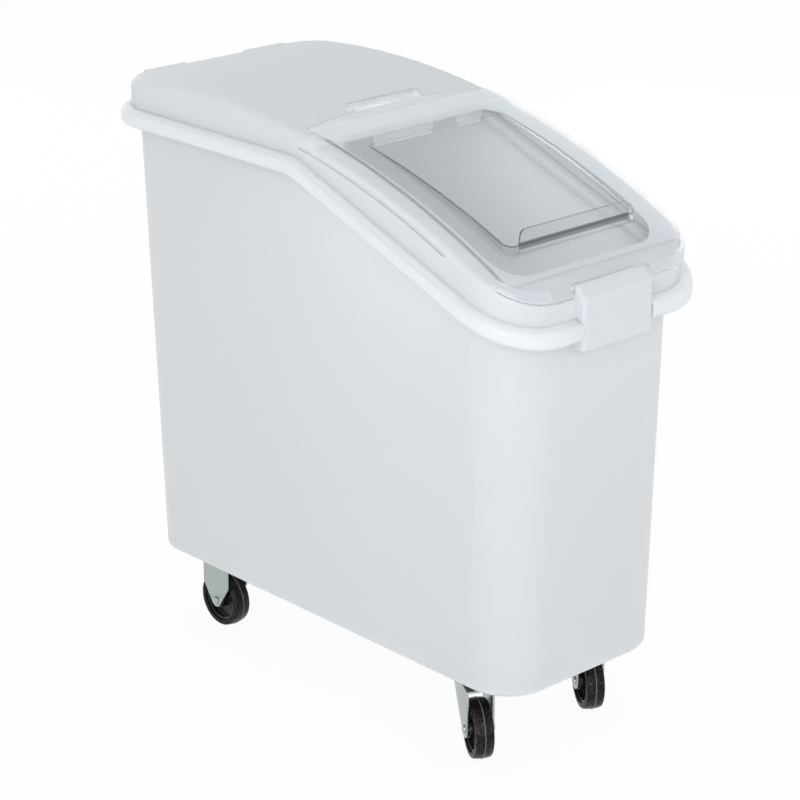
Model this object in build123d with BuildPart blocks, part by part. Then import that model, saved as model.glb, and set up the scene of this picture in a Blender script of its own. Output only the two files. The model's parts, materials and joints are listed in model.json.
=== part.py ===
"""A slant-top mobile ingredient bin on four casters, with a lift-off cover and a clear sliding door.

Frame: +Z up, origin on the floor under the middle of the bin. The length runs along Y with the front, where the
pull grip is, at -Y. The width runs along X. All lengths are millimetres.
"""
import math
import os

from build123d import *

# Plan of the cover. The tub, the flange, the door and the casters keep their distances to it
cover_half_width = 162.35
cover_half_length = 357.9

# Tub walls: a drafted box with rounded corners that leans a little to the rear, standing on the caster plates.
# Its plan is drawn at the root level, just below the floor
caster_height = 100.0
tub_root_drop = 10.0
tub_side_setback = 24.21
tub_front_setback = 21.71
tub_rear_setback = 22.51
tub_root_front_radius = 59.7
tub_root_rear_radius = 40.7
tub_headroom = 39.6
tub_draft = 1.5
tub_lean = 0.28
tub_wall = 3.5
tub_floor = 4.0
tub_floor_radius = 9.0

# Side profile of the rim, where the cover sits: level at the rear, then slanting down to the front
rim_height = 710.4
rim_bend_y = 5.5
rim_slope = 0.3755
rim_bend_radius = 60.0
cover_bend_radius = 40.0

# Rolled flange round the rim of the tub
flange_side_reach = 13.65
flange_end_reach = 14.1
flange_front_radius = 82.0
flange_rear_radius = 64.0
flange_depth = 23.0
flange_skin = 3.2
flange_bulge_radius = 8.5
flange_notch_depth = 20.0

# Cover: opaque, full length, with an opening in its slanting front part
cover_front_radius = 68.5
cover_rear_radius = 51.0
cover_wall = 3.0
cover_edge_radius = 14.0
cover_frame_edge_radius = 9.0
bevel_share = 0.6
arc_centre_y = 200.0
arc_centre_drop = 1080.4
cover_top_radius = 1126.0
cover_frame_radius = 1119.9
cover_step_y = -27.0
opening_side_margin = 33.35
opening_front_margin = 39.9
opening_front_radius = 40.0
opening_rear_radius = 22.0
locating_lip_side_setback = 15.35
locating_lip_front_setback = 15.9
locating_lip_rear_setback = 7.9
locating_lip_front_radius = 75.0
locating_lip_rear_radius = 46.0
locating_lip_depth = 9.0
locating_lip_wall = 2.5
hanging_lip_y = -7.0
hanging_lip_wall = 2.5
hanging_lip_half_width = 50.0
hanging_lip_side_length = 44.0
hanging_lip_overlap = 5.0
hanging_lip_drop = 7.4
hanging_lip_corner = 6.0
rear_rib_start = 50.0
rear_rib_end = 116.0
rear_rib_length = 12.0
rear_rib_rise = 0.4

# Pull grip moulded on the front of the cover, hollow from below
grip_half_width = 58.0
grip_wall = 3.0
grip_reach = 12.6
grip_overlap = 2.7
grip_top_rise = 38.46
grip_shoulder_rise = 24.06
grip_drop = 36.94
grip_corner_radius = 5.0
grip_side_gap = 1.0

# Clear door: a thin moulded shell that rides on the cover along the arc
door_radius = 1130.5
door_wall = 2.8
door_side_reach = 3.25
door_front_reach = 3.3
door_front_radius = 71.5
door_edge_radius = 14.5
door_rear_y = 20.0
door_rear_side_y = -2.0
door_front_skirt_radius = 1120.2
door_side_skirt_radius = 1110.5
door_skirt_length = 110.2
door_skirt_slant = 11.0
door_notch_half_width = 65.5
door_notch_depth = 6.6
door_tab_half_width = 60.0
door_tab_rear_y = 35.0
door_tab_bar_length = 19.0
door_tab_bar_rise = 3.0
door_tab_corner = 5.0
panel_rear_y = -62.0
panel_front_gap = 21.0
panel_rear_side_gap = 17.0
panel_front_side_gap = 20.0
panel_front_radius = 14.0
panel_rear_radius = 10.0
panel_rear_rise = 0.6
panel_front_rise = 7.5
fin_end_gap = 19.0
fin_height = 18.0
fin_thickness = 2.6
fin_corner_radius = 9.0

# Casters: rigid pair at the rear, swivelling pair in front
caster_side_setback = 65.35
rigid_end_setback = 117.9
swivel_end_setback = 122.9
swivel_trail = 32.0
swivel_rest_angle = -30.0
wheel_radius = 38.1
tyre_width = 24.0
tyre_inner_radius = 29.5
tyre_shoulder = 2.2
hub_width = 27.6
hub_radius = 11.0
rim_width = 19.0
rim_inner_radius = 26.0
web_thickness = 5.0
rim_overlap = 0.5
sleeve_radius = 6.5
axle_radius = 4.0
bearing_clearance = 0.06
bolt_clearance = 0.1
leg_gap = 30.0
leg_thickness = 2.5
leg_tip_radius = 11.0
leg_front = 11.0
leg_rear = 54.0
leg_rear_drop = 12.0
rigid_tip_radius = 9.0
rigid_leg_half_width = 25.0
rigid_leg_waist_z = 59.5
plate_width = 60.0
plate_length = 92.0
plate_thickness = 2.5
plate_corner = 7.0
plate_side_gap = 0.5
plate_bolt_x = 22.5
plate_bolt_y = 38.0
thrust_ring_outer_radius = 23.0
thrust_ring_inner_radius = 16.0
thrust_ring_thickness = 4.6
thrust_ring_seat = 0.3
crown_radius = 26.0
crown_thickness = 2.9
saddle_thickness = 2.5
saddle_end_inset = 1.0
kingpin_radius = 5.0
kingpin_head_radius = 8.0
kingpin_head_height = 1.6
kingpin_washer_radius = 10.0
kingpin_washer_thickness = 1.5
kingpin_clearance = 0.06
kingpin_gap = 0.3
kingpin_nut_flats = 15.0
kingpin_nut_height = 6.0
kingpin_tail = 2.0
axle_head_flats = 12.0
axle_head_height = 4.2
axle_nut_flats = 12.0
axle_nut_height = 6.0
axle_tail = 1.5
hex_chamfer = 0.8
mount_bolt_radius = 3.0
mount_head_flats = 10.0
mount_head_height = 4.0
mount_bolt_length = 12.0
mount_hole_depth = 12.0
pad_roof = 2.5
pad_margin = 3.5

os.makedirs("parts", exist_ok=True)

# Places and sizes that follow from the cover's plan and the rim
tub_bottom_z = caster_height
tub_root_half_width = cover_half_width - tub_side_setback
tub_root_front = cover_half_length - tub_front_setback
tub_root_rear = cover_half_length - tub_rear_setback
tub_prism_height = rim_height - tub_bottom_z + tub_root_drop + tub_headroom
flange_half_width = cover_half_width + flange_side_reach
flange_half_length = cover_half_length + flange_end_reach
arc_centre_z = rim_height - arc_centre_drop
hanging_lip_bottom = rim_height - hanging_lip_drop
front_rim_z = rim_height - rim_slope * (cover_half_length + rim_bend_y)
opening_half_width = cover_half_width - opening_side_margin
opening_front_y = opening_front_margin - cover_half_length
locating_lip_half_width = cover_half_width - locating_lip_side_setback
locating_lip_front = cover_half_length - locating_lip_front_setback
locating_lip_rear = cover_half_length - locating_lip_rear_setback
hanging_lip_side_end = opening_half_width + hanging_lip_overlap
hanging_lip_side_start = hanging_lip_side_end - hanging_lip_side_length
grip_front_y = -cover_half_length - grip_reach
grip_back_y = grip_overlap - cover_half_length
grip_top_z = front_rim_z + grip_top_rise
grip_shoulder_z = front_rim_z + grip_shoulder_rise
grip_bottom_z = front_rim_z - grip_drop
door_half_width = cover_half_width + door_side_reach
door_front_y = -cover_half_length - door_front_reach
door_notch_y = door_front_y + door_notch_depth
door_skirt_end_y = door_front_y + door_skirt_length
panel_front_y = opening_front_y + panel_front_gap
panel_rear_half_width = opening_half_width - panel_rear_side_gap
panel_front_half_width = opening_half_width - panel_front_side_gap
fin_half_width = panel_front_half_width - fin_end_gap
caster_x = cover_half_width - caster_side_setback
rigid_y = cover_half_length - rigid_end_setback
swivel_y = swivel_end_setback - cover_half_length
tub_root = Plane(origin=(0, 0, tub_bottom_z - tub_root_drop), x_dir=(1, 0, 0),
                 z_dir=(0, math.sin(math.radians(tub_lean)), math.cos(math.radians(tub_lean))))
plate_z = tub_bottom_z
plate_top_z = plate_z + plate_thickness
reach = flange_half_length + 60.0
side_reach = flange_half_width + 20.0
side_plane = Plane.YZ.offset(-side_reach)
strip_height = cover_top_radius
shell_floor_z = tub_bottom_z
arc_core_radius = cover_top_radius / 2


def arc_height(radius, y):
    """Height of the point of a circle about the door's axis at a place along the length."""
    return arc_centre_z + math.sqrt(radius ** 2 - (y - arc_centre_y) ** 2)


def rim_point(y, drop):
    """Height of the slanting part of the rim, or of a line a given drop below it, square to it."""
    return rim_height - drop * math.hypot(1.0, rim_slope) + rim_slope * (y - rim_bend_y)


def rim_bend(drop):
    """Place along the length where the level and the slanting lines meet, a given drop below the rim."""
    return rim_bend_y + drop * (math.hypot(1.0, rim_slope) - 1.0) / rim_slope


def rim_path(drop):
    """Rim profile from rear to front, a given drop below the rim itself."""
    return [
        (reach, rim_height - drop),
        (rim_bend(drop), rim_height - drop),
        (-reach, rim_point(-reach, drop)),
    ]


def rim_region(drop, floor_drop=None, bend_radius=rim_bend_radius):
    """Side view of all that lies under the rim profile, or of a band between two such profiles."""
    with BuildSketch(side_plane) as region:
        with BuildLine():
            upper = FilletPolyline(*rim_path(drop), radius=bend_radius - drop)
            if floor_drop is None:
                Polyline(upper @ 1, (-reach, 0), (reach, 0), upper @ 0)
            else:
                lower = FilletPolyline(*rim_path(floor_drop), radius=bend_radius - floor_drop)
                Line(upper @ 1, lower @ 1)
                Line(upper @ 0, lower @ 0)
        make_face()
    return region.sketch


def plan_outline(plane, half_width, front, rear, front_radius, rear_radius):
    """Rounded rectangle seen from above, with its own corner radii at the front and at the rear."""
    with BuildSketch(plane) as outline:
        with Locations((0, (rear - front) / 2)):
            Rectangle(2 * half_width, front + rear)
        fillet(outline.vertices().group_by(Axis.Y)[0], radius=front_radius)
        fillet(outline.vertices().group_by(Axis.Y)[-1], radius=rear_radius)
    return outline.sketch


def tub_prism(inset, floor_z, floor_radius):
    """Drafted prism of the tub above a floor level: its outside with a rounded floor edge, or its bevelled inside."""
    with BuildPart() as prism:
        extrude(plan_outline(tub_root, tub_root_half_width - inset, tub_root_front - inset, tub_root_rear - inset,
                             tub_root_front_radius - inset, tub_root_rear_radius - inset),
                amount=tub_prism_height, taper=-tub_draft)
        with BuildSketch(Plane.XY.offset(floor_z)):
            Rectangle(2 * side_reach, 2 * reach)
        extrude(amount=-floor_z, mode=Mode.SUBTRACT)
        floor_edge = prism.faces().sort_by(Axis.Z)[0].edges()
        if inset > 0:
            chamfer(floor_edge, length=floor_radius * bevel_share)
        else:
            fillet(floor_edge, radius=floor_radius)
    return prism.part


def arc_region(outer_radius, inner_radius, rear_y, front_y):
    """Side view of a curved strip about the door's axis, between two places along the length."""
    with BuildSketch(side_plane) as region:
        with Locations((arc_centre_y, arc_centre_z)):
            Circle(outer_radius)
            Circle(inner_radius, mode=Mode.SUBTRACT)
        with Locations(((rear_y + front_y) / 2, strip_height / 2)):
            Rectangle(rear_y - front_y, strip_height, mode=Mode.INTERSECT)
    return region.sketch


def arc_shell(half_width, front, rear, front_corner, rear_corner, radius, edge_radius, inside):
    """Solid prism under a curved top: the outside of a shell, with its top edge rounded, or its bevelled inside."""
    with BuildPart() as shell:
        extrude(plan_outline(Plane.XY.offset(shell_floor_z), half_width, front, rear, front_corner, rear_corner),
                amount=strip_height)
        extrude(arc_region(radius, arc_core_radius, reach, -reach), amount=2 * side_reach, mode=Mode.INTERSECT)
        rim = shell.faces().sort_by(Axis.Z)[-1].edges()
        if inside:
            chamfer(rim, length=edge_radius * bevel_share)
        else:
            fillet(rim, radius=edge_radius)
    return shell.part


def cover_prism(inset, radius, edge_radius):
    """One body of the cover, moved inwards by an inset."""
    return arc_shell(cover_half_width - inset, cover_half_length - inset, cover_half_length - inset,
                     cover_front_radius - inset, cover_rear_radius - inset, radius - inset, edge_radius - inset,
                     inset > 0)


def flange_outline(inset):
    """Outline of the rolled flange seen from above, moved inwards by an inset."""
    return plan_outline(Plane.XY, flange_half_width - inset, flange_half_length - inset, flange_half_length - inset,
                        flange_front_radius - inset, flange_rear_radius - inset)


hanging_lip_spans = [
    (-hanging_lip_side_end, -hanging_lip_side_start),
    (-hanging_lip_half_width, hanging_lip_half_width),
    (hanging_lip_side_start, hanging_lip_side_end),
]
caster_places = [
    (-caster_x, swivel_y),
    (caster_x, swivel_y),
    (-caster_x, rigid_y),
    (caster_x, rigid_y),
]
bolt_places = [
    (x + plate_bolt_x * sx, y + plate_bolt_y * sy)
    for x, y in caster_places
    for sx in (-1, 1)
    for sy in (-1, 1)
]

# Full wall of the tub, before the rim profile cuts it, and the room inside
tub_block = tub_prism(0, tub_bottom_z, tub_floor_radius)
tub_cavity = tub_prism(tub_wall, tub_bottom_z + tub_floor, tub_floor_radius - tub_wall)

# Rolled flange: a band that follows the rim profile, rounded outside and hollow from below
with BuildPart() as flange_band:
    extrude(rim_region(0, flange_depth), amount=2 * side_reach)
    extrude(flange_outline(0), amount=strip_height, mode=Mode.INTERSECT)
    level_faces = flange_band.faces().filter_by(lambda f: abs(f.normal_at().Z) > 0.5)
    bend_lines = level_faces.edges().filter_by(Axis.X).filter_by(
        lambda e: abs(e.center().Y) < flange_half_length - flange_bulge_radius)
    fillet(level_faces.edges() - bend_lines, radius=flange_bulge_radius)

with BuildPart() as flange_void:
    extrude(rim_region(flange_skin, flange_depth + flange_skin), amount=2 * side_reach)
    extrude(flange_outline(flange_skin), amount=strip_height, mode=Mode.INTERSECT)
    add(tub_block, mode=Mode.SUBTRACT)

with BuildPart() as bin_tub:
    add(tub_block)
    extrude(rim_region(0), amount=2 * side_reach, mode=Mode.INTERSECT)
    add(flange_band.part)
    add(flange_void.part, mode=Mode.SUBTRACT)
    add(tub_cavity, mode=Mode.SUBTRACT)
    # Gap in the flange where the cover's pull grip hangs
    with BuildSketch(Plane.XY.offset(tub_bottom_z)):
        with Locations((0, -flange_half_length)):
            Rectangle(2 * (grip_half_width + grip_side_gap), 2 * flange_notch_depth)
    extrude(amount=strip_height, mode=Mode.SUBTRACT)
    # Thick pads in the floor that carry the casters, with pockets that take the caster plates
    with BuildSketch(Plane.XY.offset(plate_top_z)):
        with Locations(*caster_places):
            RectangleRounded(plate_width + 2 * pad_margin, plate_length + 2 * pad_margin, plate_corner + pad_margin)
    extrude(amount=mount_hole_depth + pad_roof)
    with BuildSketch(Plane.XY.offset(tub_bottom_z)):
        with Locations(*caster_places):
            RectangleRounded(plate_width + 2 * plate_side_gap, plate_length + 2 * plate_side_gap,
                             plate_corner + plate_side_gap)
    extrude(amount=plate_thickness, mode=Mode.SUBTRACT)
    with BuildSketch(Plane.XY.offset(plate_top_z)):
        with Locations(*bolt_places):
            Circle(mount_bolt_radius + bolt_clearance)
    extrude(amount=mount_hole_depth, mode=Mode.SUBTRACT)

# Cover: a lower frame round the opening in front, and a higher body behind the step
def behind_step(setback):
    """Plan of everything behind the cover's step, or behind a line set back from it."""
    with BuildSketch(Plane.XY) as region:
        with Locations((0, (reach + cover_step_y + setback) / 2)):
            Rectangle(2 * side_reach, reach - cover_step_y - setback)
    return region.sketch


def grip_side(wall, back_y, back_z):
    """Side view of the pull grip, moved inwards by a wall at the front and on top."""
    with BuildSketch(Plane.YZ.offset(wall - grip_half_width)) as region:
        with BuildLine():
            Polyline((back_y, grip_bottom_z), (grip_front_y + wall, grip_bottom_z),
                     (grip_front_y + wall, grip_shoulder_z - wall), (back_y, back_z), close=True)
        make_face()
    return region.sketch


def cover_form(inset):
    """Cover as a solid, moved inwards by an inset: the frame ahead of the step joined to the body behind it."""
    with BuildPart() as frame_part:
        add(cover_prism(inset, cover_frame_radius, cover_frame_edge_radius))
        extrude(behind_step(inset), amount=strip_height, mode=Mode.SUBTRACT)
    with BuildPart() as form:
        add(cover_prism(inset, cover_top_radius, cover_edge_radius))
        extrude(behind_step(inset), amount=strip_height, mode=Mode.INTERSECT)
        add(frame_part.part)
    return form.part


with BuildPart() as grip_hood:
    extrude(grip_side(0, grip_back_y, grip_top_z), amount=2 * grip_half_width)
    front_face = grip_hood.faces().filter_by(Axis.Y).sort_by(Axis.Y)[0]
    fillet(front_face.edges().filter_by(Axis.Z), radius=grip_corner_radius)
    shoulder = grip_hood.faces().filter_by(Axis.Y).sort_by(Axis.Y)[0].edges().filter_by(Axis.X).sort_by(Axis.Z)[-1]
    fillet(shoulder, radius=grip_corner_radius)

grip_slope = (grip_top_z - grip_shoulder_z) / (grip_back_y - grip_front_y)
grip_room_back_y = -cover_half_length
grip_finger_back_y = grip_back_y + grip_wall
grip_room_top_z = grip_shoulder_z - grip_wall + grip_slope * (grip_room_back_y - grip_front_y - grip_wall)

with BuildPart() as cover_locating_lip:
    extrude(rim_region(-cover_wall, locating_lip_depth, cover_bend_radius), amount=2 * side_reach)
    extrude(plan_outline(Plane.XY, locating_lip_half_width, locating_lip_front, locating_lip_rear,
                         locating_lip_front_radius, locating_lip_rear_radius), amount=strip_height,
            mode=Mode.INTERSECT)

with BuildPart() as cover_ledge:
    extrude(rim_region(-cover_wall, 0, cover_bend_radius), amount=2 * side_reach)
    extrude(plan_outline(Plane.XY, cover_half_width - cover_wall / 2, cover_half_length - cover_wall / 2,
                         cover_half_length - cover_wall / 2, cover_front_radius - cover_wall / 2,
                         cover_rear_radius - cover_wall / 2), amount=strip_height, mode=Mode.INTERSECT)
    add(cover_locating_lip.part)
    extrude(plan_outline(Plane.XY, locating_lip_half_width - locating_lip_wall, locating_lip_front - locating_lip_wall,
                         locating_lip_rear - locating_lip_wall, locating_lip_front_radius - locating_lip_wall,
                         locating_lip_rear_radius - locating_lip_wall), amount=strip_height, mode=Mode.SUBTRACT)

with BuildPart() as lid_cover:
    add(cover_form(0))
    # Blocks that square off the rounded rear edge
    with BuildSketch(Plane.XY.offset(rim_height)):
        for side in (-1, 1):
            with Locations((side * (rear_rib_start + rear_rib_end) / 2, cover_half_length - rear_rib_length / 2)):
                Rectangle(rear_rib_end - rear_rib_start, rear_rib_length)
    extrude(amount=arc_height(cover_top_radius, cover_half_length) + rear_rib_rise - rim_height)
    # Everything under the rim profile goes, then the inside of the shell
    extrude(rim_region(0, bend_radius=cover_bend_radius), amount=2 * side_reach, mode=Mode.SUBTRACT)
    add(cover_form(cover_wall), mode=Mode.SUBTRACT)
    add(grip_hood.part)
    extrude(grip_side(grip_wall, grip_room_back_y, grip_room_top_z), amount=2 * (grip_half_width - grip_wall),
            mode=Mode.SUBTRACT)
    # Behind the grip, under the cover's skirt, there is room for fingers
    with BuildSketch(Plane.XY.offset(grip_bottom_z)):
        with Locations((0, (grip_room_back_y + grip_finger_back_y) / 2)):
            Rectangle(2 * (grip_half_width - grip_wall), grip_finger_back_y - grip_room_back_y)
    extrude(amount=front_rim_z - grip_bottom_z, mode=Mode.SUBTRACT)
    add(cover_ledge.part)
    # Mouth under the sliding door
    with BuildSketch(Plane.XY.offset(rim_point(-cover_half_length, 0))) as mouth:
        with Locations((0, (opening_front_y + cover_step_y) / 2)):
            Rectangle(2 * opening_half_width, cover_step_y - opening_front_y)
        fillet(mouth.vertices().group_by(Axis.Y)[0], radius=opening_front_radius)
        fillet(mouth.vertices().group_by(Axis.Y)[-1], radius=opening_rear_radius)
    extrude(amount=strip_height, mode=Mode.SUBTRACT)
    # Stiffening lips that hang behind the mouth
    hanging_lip_top = arc_height(cover_top_radius - cover_wall / 2, hanging_lip_y)
    with BuildSketch(Plane.XZ.offset(-hanging_lip_y)) as lips:
        for start, end in hanging_lip_spans:
            with Locations(((start + end) / 2, (hanging_lip_bottom + hanging_lip_top) / 2)):
                Rectangle(end - start, hanging_lip_top - hanging_lip_bottom)
        fillet(lips.vertices().group_by(Axis.Y)[0], radius=hanging_lip_corner)
    extrude(amount=-hanging_lip_wall)


def door_prism(inset):
    """Door as a solid prism, moved inwards by an inset."""
    return arc_shell(door_half_width - inset, -door_front_y - inset, cover_half_length - inset,
                     door_front_radius - inset, door_front_radius - inset, door_radius - inset,
                     door_edge_radius - inset, inset > 0)


def panel_region(inset, floor_radius):
    """Side view of the raised panel: a curved wedge that grows towards the front."""
    rear, front = panel_rear_y - inset, panel_front_y + inset
    middle = (rear + front) / 2
    rises = (panel_rear_rise, (panel_rear_rise + panel_front_rise) / 2, panel_front_rise)
    crest = [(y, arc_height(door_radius + rise - inset, y)) for y, rise in zip((rear, middle, front), rises)]
    floor = [(y, arc_height(floor_radius, y)) for y in (front, middle, rear)]
    with BuildSketch(side_plane) as region:
        with BuildLine():
            ThreePointArc(*crest)
            Line(crest[-1], floor[0])
            ThreePointArc(*floor)
            Line(floor[-1], crest[0])
        make_face()
    return region.sketch


def panel_plan(inset):
    """Raised panel seen from above, a little narrower in front."""
    with BuildSketch(Plane.XY) as region:
        with BuildLine():
            Polyline((-panel_rear_half_width + inset, panel_rear_y - inset),
                     (panel_rear_half_width - inset, panel_rear_y - inset),
                     (panel_front_half_width - inset, panel_front_y + inset),
                     (-panel_front_half_width + inset, panel_front_y + inset), close=True)
        make_face()
        fillet(region.vertices().group_by(Axis.Y)[0], radius=panel_front_radius - inset)
        fillet(region.vertices().group_by(Axis.Y)[-1], radius=panel_rear_radius - inset)
    return region.sketch


def panel_block(inset, floor_radius):
    """Raised panel as a solid, or the room under it."""
    with BuildPart() as block:
        extrude(panel_region(inset, floor_radius), amount=2 * side_reach)
        extrude(panel_plan(inset), amount=strip_height, mode=Mode.INTERSECT)
    return block.part


# Side view of the door: its skirts end on arcs, lower along the sides, with a slanting end
skirt_end = (door_skirt_end_y, arc_height(door_side_skirt_radius, door_skirt_end_y))
skirt_start_y = door_skirt_end_y - door_skirt_slant
skirt_start = (skirt_start_y, arc_height(door_front_skirt_radius, skirt_start_y))
with BuildSketch(side_plane) as side_skirt_region:
    with BuildLine():
        Polyline(skirt_end, skirt_start, (skirt_start_y, strip_height), (reach, strip_height), (reach, 0),
                 (door_skirt_end_y, 0), close=True)
    make_face()
    with Locations((arc_centre_y, arc_centre_z)):
        Circle(door_side_skirt_radius, mode=Mode.SUBTRACT)

with BuildPart() as door_side_room:
    extrude(side_skirt_region.sketch, amount=2 * side_reach)
    extrude(arc_region(door_radius + door_wall, door_front_skirt_radius, reach, -reach), amount=2 * side_reach)

# Plan of the door, with its bowed rear edge
with BuildSketch(Plane.XY) as door_plan:
    with BuildLine():
        bow = ThreePointArc((-door_half_width, door_rear_side_y), (0, door_rear_y), (door_half_width, door_rear_side_y))
        Polyline(bow @ 1, (side_reach, door_rear_side_y), (side_reach, -reach), (-side_reach, -reach),
                 (-side_reach, door_rear_side_y), bow @ 0)
    make_face()

with BuildPart() as door_tab:
    with BuildSketch(Plane.XY):
        with Locations((0, door_tab_rear_y - door_tab_bar_length / 2)):
            RectangleRounded(2 * door_tab_half_width, door_tab_bar_length, door_tab_corner)
    extrude(amount=strip_height)
    extrude(arc_region(door_radius + door_tab_bar_rise, door_radius - door_wall, reach, -reach),
            amount=2 * side_reach, mode=Mode.INTERSECT)

with BuildPart() as sliding_door:
    add(door_prism(0))
    add(door_prism(door_wall), mode=Mode.SUBTRACT)
    add(door_side_room.part, mode=Mode.INTERSECT)
    extrude(door_plan.sketch, amount=strip_height, mode=Mode.INTERSECT)
    # Notch in the front skirt, over the cover's pull grip
    with BuildSketch(Plane.XY):
        with Locations((0, door_notch_y - door_notch_half_width)):
            Rectangle(2 * door_notch_half_width, 2 * door_notch_half_width)
    extrude(amount=strip_height, mode=Mode.SUBTRACT)
    add(door_tab.part)
    add(panel_block(0, door_radius - door_wall / 2))
    add(panel_block(door_wall, door_radius - 2 * door_wall), mode=Mode.SUBTRACT)
    # Upright fin on the panel's front edge, to push the door by
    fin_bottom = arc_height(door_radius - door_wall / 2, panel_front_y)
    fin_top = arc_height(door_radius + panel_front_rise, panel_front_y) + fin_height
    with BuildSketch(Plane.XZ.offset(-panel_front_y - fin_thickness / 2)) as fin:
        with Locations((0, (fin_bottom + fin_top) / 2)):
            Rectangle(2 * fin_half_width, fin_top - fin_bottom)
        fillet(fin.vertices().group_by(Axis.Y)[-1], radius=fin_corner_radius)
    extrude(amount=fin_thickness)


# Heights in the casters, from the tub's pads down
crown_z = plate_z - thrust_ring_thickness
saddle_z = crown_z - crown_thickness
leg_top_z = saddle_z
saddle_bottom_z = saddle_z - saddle_thickness
kingpin_nut_top_z = saddle_bottom_z - kingpin_gap
kingpin_bottom_z = kingpin_nut_top_z - kingpin_washer_thickness - kingpin_nut_height - kingpin_tail
leg_inner_x = leg_gap / 2
leg_outer_x = leg_gap / 2 + leg_thickness


def kingpin_profile(gap):
    """Half outline of the countersunk kingpin, grown by a gap."""
    with BuildSketch(Plane.XZ) as profile:
        with BuildLine():
            Polyline((0, plate_top_z), (kingpin_head_radius + gap, plate_top_z),
                     (kingpin_radius + gap, plate_top_z - kingpin_head_height),
                     (kingpin_radius + gap, kingpin_bottom_z), (0, kingpin_bottom_z), close=True)
        make_face()
    return profile.sketch


def caster_plate(swivels):
    """Top plate with its four bolt holes, and with the kingpin's hole and the thrust ring's seat if it swivels."""
    with BuildPart() as plate:
        with BuildSketch(Plane.XY.offset(plate_z)):
            RectangleRounded(plate_width, plate_length, plate_corner)
            with GridLocations(2 * plate_bolt_x, 2 * plate_bolt_y, 2, 2):
                Circle(mount_bolt_radius + bolt_clearance, mode=Mode.SUBTRACT)
        extrude(amount=plate_thickness)
        if swivels:
            revolve(kingpin_profile(bolt_clearance), axis=Axis.Z, mode=Mode.SUBTRACT)
            with BuildSketch(Plane.XY.offset(plate_z)):
                Circle(thrust_ring_outer_radius)
                Circle(thrust_ring_inner_radius, mode=Mode.SUBTRACT)
            extrude(amount=thrust_ring_seat, mode=Mode.SUBTRACT)
    return plate.part


def caster_leg(outline_points, tip_y, tip_radius):
    """Both legs of a caster: plates hulled round the axle end, with the axle's holes."""
    with BuildPart() as legs:
        for inner_x in (leg_inner_x, -leg_outer_x):
            with BuildSketch(Plane.YZ.offset(inner_x)):
                with BuildLine():
                    CenterArc((tip_y, wheel_radius), tip_radius, 0, 360)
                    Polyline(*outline_points, close=True)
                make_hull()
                with Locations((tip_y, wheel_radius)):
                    Circle(axle_radius + bolt_clearance, mode=Mode.SUBTRACT)
            extrude(amount=leg_thickness)
    return legs.part


def axle_solid(side, flats, height, bore):
    """Hexagonal head or nut on one side of the legs."""
    with BuildPart() as hexagon:
        with BuildSketch(Plane.YZ.offset(side * leg_outer_x)):
            with Locations((0, wheel_radius)):
                RegularPolygon(flats / 2, 6, major_radius=False)
                if bore:
                    Circle(bore, mode=Mode.SUBTRACT)
        extrude(amount=side * height)
        tip = hexagon.faces().filter_by(Axis.X).sort_by(Axis.X)[0 if side < 0 else -1]
        chamfer(tip.outer_wire().edges(), length=hex_chamfer)
    return hexagon.part


# Swivelling fork: round crown, saddle and two legs
with BuildPart() as swivel_fork:
    with BuildSketch(Plane.XY.offset(saddle_z)):
        Circle(crown_radius)
    extrude(amount=crown_thickness)
    with BuildSketch(Plane.XY.offset(saddle_bottom_z)):
        with Locations((0, (leg_rear - leg_front) / 2 - swivel_trail)):
            Rectangle(leg_gap + leg_thickness, leg_front + leg_rear - 2 * saddle_end_inset)
    extrude(amount=saddle_thickness)
    add(caster_leg([(-swivel_trail - leg_front, leg_top_z), (leg_rear - swivel_trail, leg_top_z),
                    (leg_rear - swivel_trail, leg_top_z - leg_rear_drop)], -swivel_trail, leg_tip_radius))
    with BuildSketch(Plane.XY.offset(saddle_bottom_z)):
        Circle(kingpin_radius + kingpin_clearance)
    extrude(amount=saddle_thickness + crown_thickness, mode=Mode.SUBTRACT)

# The fork turns on a thrust ring that sits in a shallow seat of the plate
with BuildPart() as thrust_ring:
    with BuildSketch(Plane.XY.offset(crown_z)):
        Circle(thrust_ring_outer_radius)
        Circle(thrust_ring_inner_radius, mode=Mode.SUBTRACT)
    extrude(amount=thrust_ring_thickness + thrust_ring_seat)

with BuildPart() as kingpin:
    revolve(kingpin_profile(0), axis=Axis.Z)

with BuildPart() as kingpin_nut:
    with BuildSketch(Plane.XY.offset(kingpin_nut_top_z - kingpin_washer_thickness)):
        Circle(kingpin_washer_radius)
    extrude(amount=kingpin_washer_thickness)
    with BuildSketch(Plane.XY.offset(kingpin_nut_top_z - kingpin_washer_thickness - kingpin_nut_height)):
        RegularPolygon(kingpin_nut_flats / 2, 6, major_radius=False)
    extrude(amount=kingpin_nut_height)
    with BuildSketch(Plane.XY.offset(kingpin_bottom_z)):
        Circle(kingpin_radius)
    extrude(amount=plate_z - kingpin_bottom_z, mode=Mode.SUBTRACT)

# Rigid bracket: a top plate with two tapering legs
with BuildPart() as rigid_bracket:
    add(caster_plate(False))
    add(caster_leg([(-rigid_leg_half_width, plate_z), (rigid_leg_half_width, plate_z),
                    (rigid_leg_half_width, rigid_leg_waist_z), (-rigid_leg_half_width, rigid_leg_waist_z)],
                   0, rigid_tip_radius))

# Axle bolt, nut and the sleeve that the legs clamp, all along X at the wheel's centre
with BuildPart() as axle_bolt:
    add(axle_solid(-1, axle_head_flats, axle_head_height, 0))
    with BuildSketch(Plane.YZ.offset(-leg_outer_x)):
        with Locations((0, wheel_radius)):
            Circle(axle_radius)
    extrude(amount=2 * leg_outer_x + axle_nut_height + axle_tail)

with BuildPart() as axle_nut:
    add(axle_solid(1, axle_nut_flats, axle_nut_height, axle_radius))

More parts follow.
